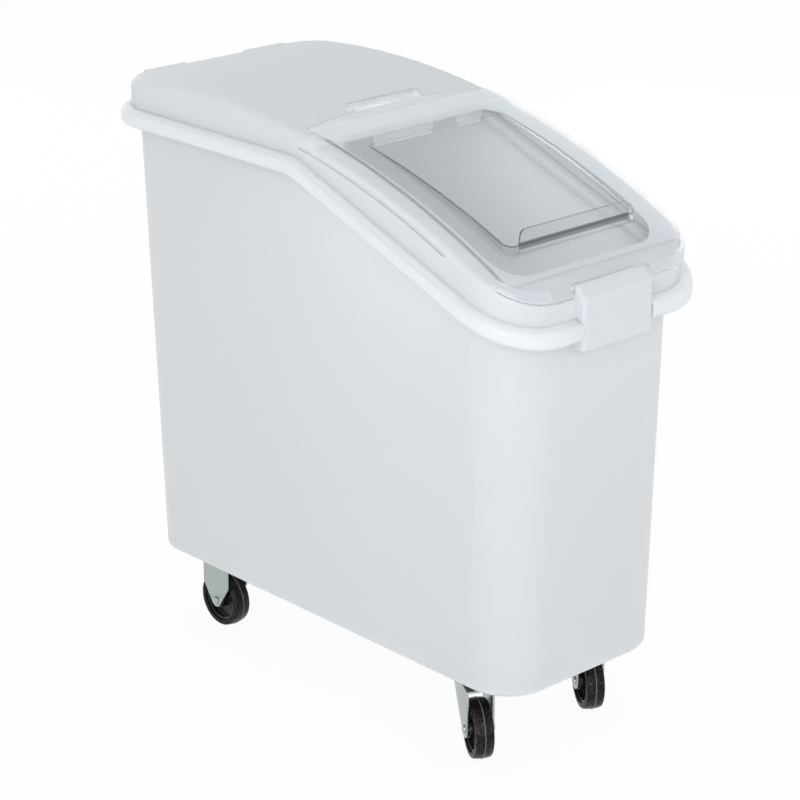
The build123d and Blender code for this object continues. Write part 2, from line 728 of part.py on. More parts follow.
with BuildPart() as axle_sleeve:
    with BuildSketch(Plane.YZ.offset(-leg_inner_x)):
        with Locations((0, wheel_radius)):
            Circle(sleeve_radius)
            Circle(axle_radius + bolt_clearance, mode=Mode.SUBTRACT)
    extrude(amount=leg_gap)

# Wheel core: hub, thin web and rim
with BuildPart() as wheel_hub:
    with BuildSketch(Plane.YZ.offset(-hub_width / 2)):
        with Locations((0, wheel_radius)):
            Circle(hub_radius)
    extrude(amount=hub_width)
    with BuildSketch(Plane.YZ.offset(-rim_width / 2)):
        with Locations((0, wheel_radius)):
            Circle(tyre_inner_radius)
            Circle(rim_inner_radius, mode=Mode.SUBTRACT)
    extrude(amount=rim_width)
    with BuildSketch(Plane.YZ.offset(-web_thickness / 2)):
        with Locations((0, wheel_radius)):
            Circle(rim_inner_radius + rim_overlap)
    extrude(amount=web_thickness)
    with BuildSketch(Plane.YZ.offset(-hub_width / 2)):
        with Locations((0, wheel_radius)):
            Circle(sleeve_radius + bearing_clearance)
    extrude(amount=hub_width, mode=Mode.SUBTRACT)

# Tyre: one revolved ring with bevelled shoulders
with BuildPart() as tyre:
    with BuildSketch(Plane.XZ) as tread:
        with Locations((0, wheel_radius + (tyre_inner_radius + wheel_radius) / 2)):
            Rectangle(tyre_width, wheel_radius - tyre_inner_radius)
        chamfer(tread.vertices().group_by(Axis.Y)[-1], length=tyre_shoulder)
    revolve(axis=Axis((0, 0, wheel_radius), (1, 0, 0)))

# Hex bolts that hold the caster plates to the thick pads of the tub's floor
with BuildPart() as mounting_bolts:
    with BuildSketch(Plane.XY.offset(plate_z)):
        with Locations(*bolt_places):
            Circle(mount_bolt_radius)
    extrude(amount=mount_bolt_length)
    with BuildSketch(Plane.XY.offset(plate_z - mount_head_height)):
        with Locations(*bolt_places):
            RegularPolygon(mount_head_flats / 2, 6, major_radius=False)
    extrude(amount=mount_head_height)


def export_placed(name, shape, *places):
    """Write one sub-part at its place in the bin, or several alike at theirs."""
    with BuildPart() as placed:
        with Locations(*places):
            add(shape)
    placed.part.label = name
    export_step(placed.part, f"parts/{name}.step")


# Each side's front caster swivels: its plate stays square to the bin, its fork and wheel turn about the kingpin
side_places = (("left", -caster_x), ("right", caster_x))
pivots = [Location((x, swivel_y, 0)) for side, x in side_places]
rigid_places = [Location((x, rigid_y, 0)) for side, x in side_places]
fork_turn = Location((0, 0, 0), (0, 0, swivel_rest_angle))
trail_step = Location((0, -swivel_trail, 0))

at_rest = Location((0, 0, 0))
export_placed("bin_tub", bin_tub.part, at_rest)
export_placed("lid_cover", lid_cover.part, at_rest)
export_placed("sliding_door", sliding_door.part, at_rest)
export_placed("mounting_bolts", mounting_bolts.part, at_rest)
export_placed("front_plates", caster_plate(True), *pivots)
export_placed("front_thrust_rings", thrust_ring.part, *pivots)
export_placed("front_kingpins", kingpin.part, *pivots)
export_placed("front_kingpin_nuts", kingpin_nut.part, *pivots)
export_placed("rear_axle_bolts", axle_bolt.part, *rigid_places)
export_placed("rear_axle_nuts", axle_nut.part, *rigid_places)
export_placed("rear_sleeves", axle_sleeve.part, *rigid_places)

for (side, x), pivot, rigid_place in zip(side_places, pivots, rigid_places):
    front_wheel_place = pivot * fork_turn * trail_step
    export_placed(f"front_{side}_fork", swivel_fork.part, pivot * fork_turn)
    export_placed(f"front_{side}_axle_bolt", axle_bolt.part, front_wheel_place)
    export_placed(f"front_{side}_axle_nut", axle_nut.part, front_wheel_place)
    export_placed(f"front_{side}_sleeve", axle_sleeve.part, front_wheel_place)
    export_placed(f"front_{side}_wheel_hub", wheel_hub.part, front_wheel_place)
    export_placed(f"front_{side}_tyre", tyre.part, front_wheel_place)
    export_placed(f"rear_{side}_bracket", rigid_bracket.part, rigid_place)
    export_placed(f"rear_{side}_wheel_hub", wheel_hub.part, rigid_place)
    export_placed(f"rear_{side}_tyre", tyre.part, rigid_place)
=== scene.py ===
"""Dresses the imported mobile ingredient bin: white tub and cover, clear sliding door, zinc-plated casters."""
import json
import logging
import math
from dataclasses import dataclass
from enum import Enum
from typing import Any, Mapping, Sequence, Union

import bmesh
import bpy
from mathutils import Matrix, Vector


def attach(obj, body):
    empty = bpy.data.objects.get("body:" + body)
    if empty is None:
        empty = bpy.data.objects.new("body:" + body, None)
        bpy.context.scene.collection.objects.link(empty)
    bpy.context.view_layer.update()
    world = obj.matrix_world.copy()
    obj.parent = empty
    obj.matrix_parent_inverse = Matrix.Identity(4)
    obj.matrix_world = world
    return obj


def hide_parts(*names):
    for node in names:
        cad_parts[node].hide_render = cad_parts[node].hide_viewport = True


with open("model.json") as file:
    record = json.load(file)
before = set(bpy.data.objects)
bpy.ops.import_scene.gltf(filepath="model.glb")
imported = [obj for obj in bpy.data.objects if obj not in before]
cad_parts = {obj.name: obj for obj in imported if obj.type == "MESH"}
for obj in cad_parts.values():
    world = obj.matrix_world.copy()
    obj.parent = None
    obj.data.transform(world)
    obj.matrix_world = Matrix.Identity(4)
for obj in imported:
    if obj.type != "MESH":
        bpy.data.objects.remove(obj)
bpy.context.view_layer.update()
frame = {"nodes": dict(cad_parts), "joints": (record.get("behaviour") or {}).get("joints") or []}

LOG = logging.getLogger("ingredient_bin")
MM = 0.001
PHOTO_PIXELS = 800
SHELL_NODES = ("bin_tub", "lid_cover", "sliding_door")
# A point of the line that the door turns about, in metres.
ARC_CENTRE = next(joint["pos_m"] for joint in frame["joints"] if joint["name"] == "door_slide")
# The mesh attribute that tells how worn a point is.
WEAR = "wear"
# The level that a noise varies around.
NOISE_MEAN = 0.5
# Distances in metres within which points of a new mesh, and of a carried-over one, become one.
SNAP = 1e-7
WELD = 1e-6

Colour = tuple[float, float, float]
Stretch = tuple[float, float, float]
Value = Union["Wire", float, Sequence[float]]

WHITE: Colour = (1.0, 1.0, 1.0)


class Wire:
    """A shader socket that takes part in Python arithmetic."""

    def __init__(self, graph: "Graph", socket: bpy.types.NodeSocket) -> None:
        """Keeps the socket and the graph that new nodes go into."""
        self.graph = graph
        self.socket = socket

    def _math(self, operation: str, first: Value, second: Value) -> "Wire":
        """Adds one Math node.

        Args:
            operation: The node's operation.
            first: The first operand.
            second: The second operand.

        Returns:
            The node's result.
        """
        return self.graph.node("ShaderNodeMath", {"operation": operation}, {0: first, 1: second})

    def __add__(self, other: Value) -> "Wire":
        """Sum of two values."""
        return self._math("ADD", self, other)

    def __radd__(self, other: Value) -> "Wire":
        """Sum with a number on the left."""
        return self._math("ADD", other, self)

    def __sub__(self, other: Value) -> "Wire":
        """Difference of two values."""
        return self._math("SUBTRACT", self, other)

    def __rsub__(self, other: Value) -> "Wire":
        """Difference with a number on the left."""
        return self._math("SUBTRACT", other, self)

    def __mul__(self, other: Value) -> "Wire":
        """Product of two values."""
        return self._math("MULTIPLY", self, other)

    def __rmul__(self, other: Value) -> "Wire":
        """Product with a number on the left."""
        return self._math("MULTIPLY", other, self)

    def __pow__(self, other: Value) -> "Wire":
        """Power of a value."""
        return self._math("POWER", self, other)

    def size(self) -> "Wire":
        """The value without its sign."""
        return self._math("ABSOLUTE", self, 0.0)

    def at_most(self, level: Value) -> "Wire":
        """The value, held to a highest level."""
        return self._math("MINIMUM", self, level)

    def at_least(self, level: Value) -> "Wire":
        """The value, held to a lowest level."""
        return self._math("MAXIMUM", self, level)

    def over(self, level: float) -> "Wire":
        """How far the value lies over a level, and zero below it."""
        return (self - level).at_least(0.0)

    def clipped(self) -> "Wire":
        """The value, held between zero and one."""
        return self.at_least(0.0).at_most(1.0)

    def ramp(self, length: float) -> "Wire":
        """A share that rises from zero at zero to one at a length in metres."""
        return (self * (1.0 / length)).clipped()

    def inside(self, edge: float) -> "Wire":
        """One where a distance is negative and zero where it isn't, with an edge of a width in metres."""
        return (0.5 - self * (1.0 / edge)).clipped()

    def stripe(self, width: float) -> "Wire":
        """One where a distance is under half a width, fading to zero at the whole width."""
        return (2.0 - self * (2.0 / width)).clipped()


class Graph:
    """The node tree of one material, of the world or of a modifier."""

    def __init__(self, tree: bpy.types.NodeTree) -> None:
        """Empties the tree and keeps it."""
        self.tree = tree
        tree.nodes.clear()

    def node(
        self,
        kind: str,
        settings: Mapping[str, Any] | None = None,
        inputs: Mapping[Union[int, str], Value] | None = None,
        output: Union[int, str] = 0,
    ) -> Wire | None:
        """Adds a node of any type.

        Args:
            kind: The node's type.
            settings: Its settings, set first.
            inputs: A value or a wire for each socket, by name or number.
            output: The socket that is handed back.

        Returns:
            The chosen output, or None for a node without outputs.
        """
        made = self.tree.nodes.new(kind)
        for key, value in (settings or {}).items():
            setattr(made, key, value)
        for key, value in (inputs or {}).items():
            if isinstance(value, Wire):
                self.tree.links.new(value.socket, made.inputs[key])
            else:
                made.inputs[key].default_value = value
        return Wire(self, made.outputs[output]) if len(made.outputs) else None

    def along(self, axis: str) -> Wire:
        """Place of a point at rest along one axis, in metres.

        Args:
            axis: X, Y or Z.

        Returns:
            The place.
        """
        where = self.node("ShaderNodeTexCoord", output="Object")
        return self.node("ShaderNodeSeparateXYZ", None, {0: where}, axis)

    def from_arc(self) -> Wire:
        """Distance of a point at rest from the line that the door turns about, in metres.

        Returns:
            The distance.
        """
        back = self.along("Y") - ARC_CENTRE[1]
        up = self.along("Z") - ARC_CENTRE[2]
        return (back ** 2.0 + up ** 2.0) ** 0.5

    def noise(self, size: float, detail: float, stretch: Stretch = (1.0, 1.0, 1.0)) -> Wire:
        """Soft noise around its mean, fixed to the piece at rest.

        Args:
            size: Width of its blotches in metres.
            detail: How many finer layers it has.
            stretch: Stretch of the coordinates along each axis.

        Returns:
            The noise.
        """
        where = self.node("ShaderNodeTexCoord", output="Object")
        place = self.node("ShaderNodeMapping", None, {"Vector": where, "Scale": stretch})
        inputs = {"Vector": place, "Scale": 1.0 / size, "Detail": detail}
        return self.node("ShaderNodeTexNoise", None, inputs, "Fac")

    def blend(self, share: Value, first: Value, second: Value) -> Wire:
        """Mix of two colours.

        Args:
            share: How much of the second colour there is.
            first: The first colour.
            second: The second colour.

        Returns:
            The mixed colour.
        """
        return self.node("ShaderNodeMix", {"data_type": "RGBA"}, {0: share, 6: first, 7: second}, 2)

    def bump(self, height: Wire, depth: float, strength: float) -> Wire:
        """Relief on a surface.

        Args:
            height: The pattern, zero to one.
            depth: Its depth in metres.
            strength: How strongly it shows.

        Returns:
            The bent normal.
        """
        inputs = {"Height": height, "Distance": depth, "Strength": strength}
        return self.node("ShaderNodeBump", None, inputs)


def opaque(colour: Colour) -> tuple[float, float, float, float]:
    """A colour with full opacity."""
    return (*colour, 1.0)


@dataclass(frozen=True)
class Finish:
    """What every finish has: one colour, a sheen and how they vary."""

    name: str
    colour: Colour
    roughness: float
    metallic: float = 0.0
    index: float = 1.46

    def material(self) -> bpy.types.Material:
        """Makes the material.

        Returns:
            The material, with this finish's nodes.
        """
        made = bpy.data.materials.new(self.name)
        made.use_nodes = True
        made.diffuse_color = opaque(self.colour)
        graph = Graph(made.node_tree)
        shader = graph.node("ShaderNodeBsdfPrincipled", None, self.sockets(graph))
        graph.node("ShaderNodeOutputMaterial", None, {"Surface": self.cover(graph, shader)})
        return made

    def sockets(self, graph: Graph) -> dict[Union[int, str], Value]:
        """Values and links of the shader's sockets.

        Args:
            graph: The material's graph.

        Returns:
            The values by socket name.
        """
        return {"Base Color": opaque(self.colour), "Roughness": self.roughness, "Metallic": self.metallic,
                "IOR": self.index}

    def cover(self, graph: Graph, shader: Wire) -> Wire:
        """What the surface finally shows; plain finishes show their shader."""
        return shader


@dataclass(frozen=True)
class MouldedPlastic(Finish):
    """Thick white moulded plastic with a fine skin, faint flow marks and a soft inner glow."""

    shade: Colour = (0.8, 0.8, 0.8)
    flow_size: float = 0.16
    flow_stretch: Stretch = (1.0, 1.0, 0.35)
    flow_sheen: float = 0.1
    streak_size: float = 0.004
    streak_stretch: Stretch = (0.05, 0.05, 1.0)
    streak_sheen: float = 0.05
    scuff_size: float = 0.03
    scuff_level: float = 0.58
    scuff_sheen: float = 0.05
    skin_size: float = 0.0016
    skin_depth: float = 0.00005
    skin_strength: float = 0.5
    glow_share: float = 0.7
    glow_reach: float = 0.02

    def sockets(self, graph: Graph) -> dict[Union[int, str], Value]:
        """Flow marks tint the colour, and the skin and faint scuffs vary the sheen.

        Args:
            graph: The material's graph.

        Returns:
            The values by socket name.
        """
        values = super().sockets(graph)
        flow = graph.noise(self.flow_size, 2.0, self.flow_stretch)
        streaks = graph.noise(self.streak_size, 4.0, self.streak_stretch)
        scuffs = graph.noise(self.scuff_size, 5.0).over(self.scuff_level)
        marks = self.flow_sheen * (flow - NOISE_MEAN) + self.streak_sheen * (streaks - NOISE_MEAN)
        values["Base Color"] = graph.blend(flow, opaque(self.shade), opaque(self.colour))
        values["Roughness"] = self.roughness + marks + self.scuff_sheen * scuffs
        values["Subsurface Weight"] = self.glow_share
        values["Subsurface Radius"] = WHITE
        values["Subsurface Scale"] = self.glow_reach
        values["Normal"] = graph.bump(graph.noise(self.skin_size, 2.0), self.skin_depth, self.skin_strength)
        return values


@dataclass(frozen=True)
class CoverPlastic(MouldedPlastic):
    """The cover's plastic, with painted light that makes the lips inside the mouth lighter; sizes in metres.
    """

    # Painted light: a lighter colour for the lips and blocks under the frame's arc, which lie in shade inside
    # the mouth, as if lit from within.
    painted_light: Colour = (0.9, 0.925, 0.95)
    inner_radius: float = 1.1154
    inner_half: float = 0.154
    inner_front: float = -0.316
    inner_rear: float = 0.002

    def sockets(self, graph: Graph) -> dict[Union[int, str], Value]:
        """What lies under the arc of the frame, between the walls, is lighter: painted light on lips that lie
        in shade inside the mouth.

        Args:
            graph: The material's graph.

        Returns:
            The values by socket name.
        """
        values = super().sockets(graph)
        below = self.inner_radius - graph.from_arc()
        between = self.inner_half - graph.along("X").size()
        behind = graph.along("Y") - self.inner_front
        before = self.inner_rear - graph.along("Y")
        # Painted light: how much of the lighter colour each point of the lips in shade gets.
        share = below.at_most(between).at_most(behind).at_most(before).ramp(MM)
        values["Base Color"] = graph.blend(share, values["Base Color"], opaque(self.painted_light))
        return values


@dataclass(frozen=True)
class ClearPlastic(Finish):
    """Clear moulded plastic with a faint tint, fine haze and painted shade lines along its edges; sizes and
    places in metres.
    """

    haze: float = 0.04
    rub_size: float = 0.02
    rub_level: float = 0.45
    wave_size: float = 0.06
    wave_depth: float = 0.0002
    wave_strength: float = 0.2
    open_tint: Colour = (0.99, 0.995, 1.0)
    # Painted shade: the dark tint of the lines along the panel's outline, the fin and the skirts' lower edges,
    # standing in for the dark edges that refraction shows.
    painted_shade_tint: Colour = (0.34, 0.35, 0.385)
    panel_shade_share: float = 0.52
    shade_line_width: float = 0.0017
    body_share: float = 0.95
    front_share: float = 0.75
    front_end: float = -0.336
    tab_share: float = 0.5
    tab_front: float = -0.002
    panel_rear: float = -0.062
    panel_front: float = -0.297
    panel_half: float = 0.112
    panel_taper: float = 0.0128
    panel_corner: float = 0.014
    panel_faint: float = 0.25
    fin_half: float = 0.09
    fin_base: float = 0.6525
    fin_foot: float = 0.0042
    fin_clear: float = 0.0105
    fin_edge: float = 0.0005
    fin_wall_shade: float = 0.16
    skirt_side: float = 0.1435
    skirt_blend: float = 0.006
    skirt_front: float = -0.33
    skirt_front_blend: float = 0.01
    skirt_thinness: float = 0.85
    skirt_radius: float = 1.1105
    skirt_end: float = -0.262
    skirt_end_blend: float = 0.005
    skirt_edge_share: float = 0.58

    def panel_shade_line(self, graph: Graph) -> Wire:
        """Where the painted shade line along the raised panel's outline lies: up to one on the line and zero
        away from it.

        Args:
            graph: The material's graph.

        Returns:
            The line.
        """
        length = graph.along("Y")
        middle = (self.panel_rear + self.panel_front) / 2
        half_length = self.panel_rear - middle
        half_width = self.panel_half + (length - self.panel_rear) * self.panel_taper
        across = graph.along("X").size() - half_width + self.panel_corner
        endwise = (length - middle).size() - (half_length - self.panel_corner)
        corner = (across.at_least(0.0) ** 2.0 + endwise.at_least(0.0) ** 2.0) ** 0.5
        away = (corner + across.at_least(endwise).at_most(0.0) - self.panel_corner).size()
        rise = (self.panel_rear - length) * (1.0 / (self.panel_rear - self.panel_front))
        under_fin = (self.fin_base + self.fin_foot - graph.along("Z")).ramp(MM)
        behind_fin = (length - (self.panel_front + self.fin_clear)).ramp(MM)
        shown = rise.at_least(self.panel_faint).at_most(1.0) * under_fin.at_least(behind_fin)
        return away.stripe(self.shade_line_width) * shown * self.panel_shade_share

    def fin_shade_line(self, graph: Graph) -> Wire:
        """Where the painted shade of the fin lies: one at its foot, a faint share on its wall and zero
        elsewhere.

        Args:
            graph: The material's graph.

        Returns:
            The line and the wall.
        """
        length = (graph.along("Y") - self.panel_front).size()
        height = (graph.along("Z") - self.fin_base).size()
        across = graph.along("X").size() - self.fin_half
        foot = (length.at_least(height) - self.fin_foot).at_least(across).inside(self.fin_edge)
        wall = (length - self.fin_foot).at_least(across).inside(self.fin_edge)
        above = (graph.along("Z") - self.fin_base).ramp(MM)
        return foot.at_least(wall * above * self.fin_wall_shade)

    def skirt_shade_line(self, graph: Graph) -> Wire:
        """Where the painted shade line along the side skirts' lower edges lies: one on the line and zero away
        from it.

        Args:
            graph: The material's graph.

        Returns:
            The line.
        """
        away = (graph.from_arc() - self.skirt_radius).size()
        behind = (graph.along("Y") - self.skirt_end).ramp(self.skirt_end_blend)
        outside = (graph.along("X").size() - self.skirt_side).ramp(MM)
        return away.stripe(self.shade_line_width) * behind * outside

    def body(self, graph: Graph) -> Wire:
        """How much of the plastic shows: less at the front skirt, the rear tab and the thin side skirts.

        Args:
            graph: The material's graph.

        Returns:
            The share.
        """
        tab = (graph.along("Y") - self.tab_front).ramp(MM)
        front = (self.front_end - graph.along("Y")).ramp(MM)
        side = (graph.along("X").size() - self.skirt_side).ramp(self.skirt_blend)
        behind = (graph.along("Y") - self.skirt_front).ramp(self.skirt_front_blend)
        thicker = self.body_share - tab * (self.body_share - self.tab_share)
        thicker = thicker - front * (self.body_share - self.front_share)
        return thicker - side * behind * self.skirt_thinness

    def cover(self, graph: Graph, shader: Wire) -> Wire:
        """Lamps and sky shine through the thin walls without casting dark shadows.

        Args:
            graph: The material's graph.
            shader: The clear shader.

        Returns:
            The clear shader, open to shadow rays.
        """
        open_air = graph.node("ShaderNodeBsdfTransparent", None, {"Color": opaque(self.open_tint)})
        shadow = graph.node("ShaderNodeLightPath", output="Is Shadow Ray")
        bounced = graph.node("ShaderNodeLightPath", output="Is Diffuse Ray")
        lit = (shadow + bounced).at_most(1.0)
        return graph.node("ShaderNodeMixShader", None, {0: lit, 1: shader, 2: open_air})

    def sockets(self, graph: Graph) -> dict[Union[int, str], Value]:
        """Painted shade darkens the edges, the skirts let most through, and fine rubbing varies the haze.

        Args:
            graph: The material's graph.

        Returns:
            The values by socket name.
        """
        values = super().sockets(graph)
        # edge and lines mark where the painted shade lines lie: the skirts' lower edges, the panel's outline
        # and the fin.
        edge = self.skirt_shade_line(graph)
        lines = self.panel_shade_line(graph).at_least(self.fin_shade_line(graph)).at_least(edge)
        rub = graph.noise(self.rub_size, 5.0).over(self.rub_level)
        # Painted shade: the colour turns to the dark tint on these lines.
        values["Base Color"] = graph.blend(lines, opaque(self.colour), opaque(self.painted_shade_tint))
        values["Transmission Weight"] = 1.0
        # The skirts' painted shade line is made more opaque so that its dark tint shows.
        values["Alpha"] = self.body(graph).at_least(edge * self.skirt_edge_share)
        values["Roughness"] = self.roughness + self.haze * rub
        values["Normal"] = graph.bump(graph.noise(self.wave_size, 1.0), self.wave_depth, self.wave_strength)
        return values


@dataclass(frozen=True)
class ZincPlate(Finish):
    """Pressed steel with a bright zinc coat: soft spangle, rolling lines and dull patches."""

    shade: Colour = (0.4, 0.42, 0.4)
    patch_size: float = 0.012
    patch_share: float = 0.7
    patch_sheen: float = 0.25
    patch_relief: float = 0.4
    spangle_size: float = 0.004
    spangle_share: float = 0.3
    spangle_sheen: float = 0.1
    line_size: float = 0.0008
    line_stretch: Stretch = (1.0, 1.0, 0.04)
    line_relief: float = 0.6
    relief_depth: float = 0.00004
    relief_strength: float = 0.5

    def sockets(self, graph: Graph) -> dict[Union[int, str], Value]:
        """Spangle and patches change the colour and the sheen.

        Args:
            graph: The material's graph.

        Returns:
            The values by socket name.
        """
        values = super().sockets(graph)
        patches = graph.noise(self.patch_size, 4.0)
        spangle = graph.noise(self.spangle_size, 1.0)
        lines = graph.noise(self.line_size, 2.0, self.line_stretch)
        share = (patches * self.patch_share + spangle * self.spangle_share).at_most(1.0)
        marks = self.patch_sheen * (patches - NOISE_MEAN) + self.spangle_sheen * (spangle - NOISE_MEAN)
        relief = lines * self.line_relief + patches * self.patch_relief
        values["Base Color"] = graph.blend(share, opaque(self.shade), opaque(self.colour))
        values["Roughness"] = self.roughness + marks
        values["Normal"] = graph.bump(relief, self.relief_depth, self.relief_strength)
        return values


@dataclass(frozen=True)
class TurnedSteel(Finish):
    """Turned and pressed small steel parts with fine tool lines."""

    line_size: float = 0.0006
    line_stretch: Stretch = (1.0, 1.0, 0.1)
    line_sheen: float = 0.1
    line_depth: float = 0.00002
    line_strength: float = 0.4
    stain_size: float = 0.006
    stain_sheen: float = 0.15
    stain_level: float = 0.7

    def sockets(self, graph: Graph) -> dict[Union[int, str], Value]:
        """Tool lines and stains change the sheen and the colour a little.

        Args:
            graph: The material's graph.

        Returns:
            The values by socket name.
        """
        values = super().sockets(graph)
        lines = graph.noise(self.line_size, 3.0, self.line_stretch)
        stains = graph.noise(self.stain_size, 4.0)
        dull = tuple(self.stain_level * part for part in self.colour)
        marks = self.stain_sheen * (stains - NOISE_MEAN) + self.line_sheen * (lines - NOISE_MEAN)
        values["Base Color"] = graph.blend(stains, opaque(dull), opaque(self.colour))
        values["Roughness"] = self.roughness + marks
        values["Normal"] = graph.bump(lines, self.line_depth, self.line_strength)
        return values


@dataclass(frozen=True)
class BlackPlastic(Finish):
    """Black wheel plastic or tyre rubber with dust, worn edges, polished spots and a fine grain."""

    dust: Colour = (0.16, 0.155, 0.15)
    dust_share: float = 0.1
    dust_gain: float = 4.0
    patch_size: float = 0.009
    patch_sheen: float = 0.2
    speck_size: float = 0.0013
    speck_level: float = 0.62
    speck_gain: float = 9.0
    speck_share: float = 0.0
    worn_share: float = 0.45
    worn_patches: float = 0.9
    grain_size: float = 0.0007
    grain_depth: float = 0.00005
    grain_strength: float = 0.5
    shine_size: float = 0.0025
    shine_level: float = 0.5
    shine_gain: float = 6.0
    polish_share: float = 0.8
    polish_roughness: float = 0.12

    def sockets(self, graph: Graph) -> dict[Union[int, str], Value]:
        """Dust lies in soft patches and on worn edges, and polished spots shine.

        Args:
            graph: The material's graph.

        Returns:
            The values by socket name.
        """
        values = super().sockets(graph)
        patches = graph.noise(self.patch_size, 5.0)
        lying = patches.over(NOISE_MEAN) * self.dust_gain * self.dust_share
        specks = (graph.noise(self.speck_size, 2.0).over(self.speck_level) * self.speck_gain).at_most(1.0)
        worn = graph.node("ShaderNodeAttribute", {"attribute_name": WEAR}, output="Fac")
        edges = worn * (self.worn_share + self.worn_patches * patches)
        dust = (lying + specks * self.speck_share + edges).at_most(1.0)
        shine = (graph.noise(self.shine_size, 5.0).over(self.shine_level) * self.shine_gain).at_most(1.0)
        values["Base Color"] = graph.blend(dust, opaque(self.colour), opaque(self.dust))
        values["Roughness"] = self.roughness + self.patch_sheen * (patches - NOISE_MEAN)
        values["Coat Weight"] = shine * self.polish_share
        values["Coat Roughness"] = self.polish_roughness
        grain = graph.noise(self.grain_size, 2.0)
        values["Normal"] = graph.bump(grain, self.grain_depth, self.grain_strength)
        return values


class Finishes(Enum):
    """Every finish on the bin."""

    TUB = MouldedPlastic("tub_white", (0.75, 0.787, 0.822), 0.36, index=1.48, shade=(0.73, 0.767, 0.802))
    COVER = CoverPlastic("cover_white", (0.648, 0.684, 0.714), 0.42, index=1.45,
                         shade=(0.628, 0.664, 0.694), glow_share=0.15, glow_reach=0.014)
    CLEAR = ClearPlastic("door_clear", (0.968, 0.988, 1.0), 0.02, index=1.49)
    ZINC = ZincPlate("zinc_plate", (0.48, 0.54, 0.525), 0.34, 1.0, shade=(0.33, 0.385, 0.375))
    STEEL = TurnedSteel("turned_steel", (0.62, 0.62, 0.61), 0.3, 1.0)
    RING = TurnedSteel("ring_steel", (0.5, 0.5, 0.5), 0.25, 1.0)
    HUB = BlackPlastic("wheel_plastic", (0.008, 0.008, 0.008), 0.22, index=1.3, dust_share=0.06,
                       speck_share=0.15)
    TYRE = BlackPlastic("tyre_rubber", (0.005, 0.005, 0.0045), 0.34, index=1.2, dust_share=0.05,
                        speck_share=0.5, grain_depth=0.00008)


class Paintbox:
    """Makes each finish's material once."""

    def __init__(self) -> None:
        """Starts with no material made."""
        self.made: dict[Finishes, bpy.types.Material] = {}

    def get(self, finish: Finishes) -> bpy.types.Material:
        """Material of a finish.

        Args:
            finish: The finish.

        Returns:
            Its material.
        """
        if finish not in self.made:
            self.made[finish] = finish.value.material()
        return self.made[finish]


@dataclass(frozen=True)
class Corner:
    """Corner of a turned profile: place along the axle, radius and roundness, in millimetres."""

    along: float
    out: float
    rounding: float = 0.0


def rounded(corners: Sequence[Corner], steps: int = 4, side_share: float = 0.48) -> list[tuple[float, float]]:
    """Rounds the corners of a closed profile.

    Args:
        corners: The corners in order.
        steps: Runs in each rounded corner.
        side_share: The most that one corner takes of the sides next to it.

    Returns:
        The points of the rounded profile.
    """
    points: list[tuple[float, float]] = []
    for k, corner in enumerate(corners):
        before, after = corners[k - 1], corners[(k + 1) % len(corners)]
        here = Vector((corner.along, corner.out))
        if corner.rounding <= 0.0:
            points.append((here.x, here.y))
            continue
        back = Vector((before.along, before.out)) - here
        ahead = Vector((after.along, after.out)) - here
        half = back.angle(ahead) / 2
        reach = min(corner.rounding / math.tan(half), side_share * back.length, side_share * ahead.length)
        start, end = here + back.normalized() * reach, here + ahead.normalized() * reach
        for step in range(steps + 1):
            share = step / steps
            point = start * (1 - share) ** 2 + here * 2 * share * (1 - share) + end * share ** 2
            points.append((point.x, point.y))
    return points


class MeshWork:
    """Builds the pieces' meshes at their places in the row frame."""

    @staticmethod
    def finish_object(name: str, work: bmesh.types.BMesh, crease: float = 32.0) -> bpy.types.Object:
        """Turns a mesh under work into an object with smooth faces and crisp edges.

        Args:
            name: The piece's name.
            work: The mesh under work.
            crease: Angle in degrees above which an edge stays crisp.

        Returns:
            The new object.
        """
        bmesh.ops.recalc_face_normals(work, faces=work.faces[:])
        mesh = bpy.data.meshes.new(name)
        work.to_mesh(mesh)
        work.free()
        mesh.polygons.foreach_set("use_smooth", [True] * len(mesh.polygons))
        mesh.set_sharp_from_angle(angle=math.radians(crease))
        made = bpy.data.objects.new(name, mesh)
        bpy.context.scene.collection.objects.link(made)
        return made

    @staticmethod
    def turned(
        work: bmesh.types.BMesh,
        profile: Sequence[tuple[float, float]],
        place: Matrix,
        segments: int,
        worn: Sequence[float] = (),
        closed: bool = True,
    ) -> None:
        """Turns a profile round an axle.

        Args:
            work: The mesh under work.
            profile: Points along and out from the axle, in millimetres.
            place: Turns the axle (X) and its centre into the row frame.
            segments: Runs round the axle.
            worn: How worn each point of the profile is, zero to one.
            closed: Whether the profile's last point joins its first; if not, both lie on the axle.
        """
        wear = work.verts.layers.float.get(WEAR) or work.verts.layers.float.new(WEAR)
        rings = []
        for k in range(segments):
            turn = 2 * math.pi * k / segments
            cos, sin = math.cos(turn), math.sin(turn)
            points = [Vector((a * MM, r * cos * MM, r * sin * MM)) for a, r in profile]
            ring = [work.verts.new(place @ point) for point in points]
            for vertex, share in zip(ring, worn):
                vertex[wear] = share
            rings.append(ring)
        for k, ring in enumerate(rings):
            other = rings[(k + 1) % segments]
            for j in range(len(ring) if closed else len(ring) - 1):
                n = (j + 1) % len(ring)
                work.faces.new((ring[j], ring[n], other[n], other[j]))
        if not closed:
            bmesh.ops.remove_doubles(work, verts=work.verts[:], dist=SNAP)


